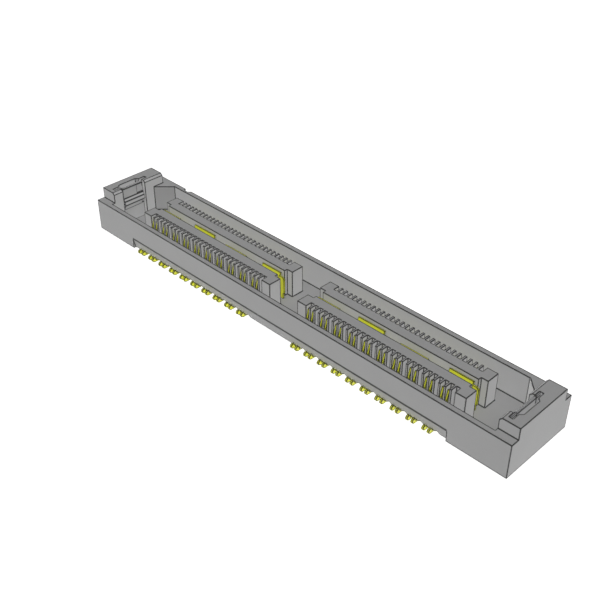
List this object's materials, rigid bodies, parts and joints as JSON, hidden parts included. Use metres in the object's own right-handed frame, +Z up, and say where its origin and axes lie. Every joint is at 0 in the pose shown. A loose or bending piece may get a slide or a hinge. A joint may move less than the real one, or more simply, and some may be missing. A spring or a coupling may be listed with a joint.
{
  "type": "board-to-board connector",
  "caption": "Long surface-mount socket strip with two comb-ribbed banks of paired contacts, centre ground strips and a latch clip in each raised end block",
  "frame": {"origin": "middle of the footprint, at the level of the solder feet, which is the top of the circuit board", "axes": "+X along the strip from the left bank to the right one, +Y across it towards the wall with the half-round notch, +Z up from the circuit board to the mating mouth"},
  "size_m": [0.0468, 0.0076, 0.0043],
  "materials": {
    "housing_resin": "matte moulded",
    "contact_plating": "satin plated",
    "strip_plating": "satin plated",
    "clip_steel": "satin"
  },
  "bodies": {
    "root": {"contact_pair_left_back_01": "contact_plating", "contact_pair_left_back_02": "contact_plating", "contact_pair_left_back_03": "contact_plating", "contact_pair_left_back_04": "contact_plating", "contact_pair_left_back_05": "contact_plating", "contact_pair_left_back_06": "contact_plating", "contact_pair_left_back_07": "contact_plating", "contact_pair_left_back_08": "contact_plating", "contact_pair_left_back_09": "contact_plating", "contact_pair_left_back_10": "contact_plating", "contact_pair_left_front_01": "contact_plating", "contact_pair_left_front_02": "contact_plating", "contact_pair_left_front_03": "contact_plating", "contact_pair_left_front_04": "contact_plating", "contact_pair_left_front_05": "contact_plating", "contact_pair_left_front_06": "contact_plating", "contact_pair_left_front_07": "contact_plating", "contact_pair_left_front_08": "contact_plating", "contact_pair_left_front_09": "contact_plating", "contact_pair_left_front_10": "contact_plating", "contact_pair_right_back_01": "contact_plating", "contact_pair_right_back_02": "contact_plating", "contact_pair_right_back_03": "contact_plating", "contact_pair_right_back_04": "contact_plating", "contact_pair_right_back_05": "contact_plating", "contact_pair_right_back_06": "contact_plating", "contact_pair_right_back_07": "contact_plating", "contact_pair_right_back_08": "contact_plating", "contact_pair_right_back_09": "contact_plating", "contact_pair_right_back_10": "contact_plating", "contact_pair_right_front_01": "contact_plating", "contact_pair_right_front_02": "contact_plating", "contact_pair_right_front_03": "contact_plating", "contact_pair_right_front_04": "contact_plating", "contact_pair_right_front_05": "contact_plating", "contact_pair_right_front_06": "contact_plating", "contact_pair_right_front_07": "contact_plating", "contact_pair_right_front_08": "contact_plating", "contact_pair_right_front_09": "contact_plating", "contact_pair_right_front_10": "contact_plating", "ground_strip_left": "strip_plating", "ground_strip_right": "strip_plating", "housing": "housing_resin", "latch_clip_left": "clip_steel", "latch_clip_right": "clip_steel"}
  },
  "joints": []
}
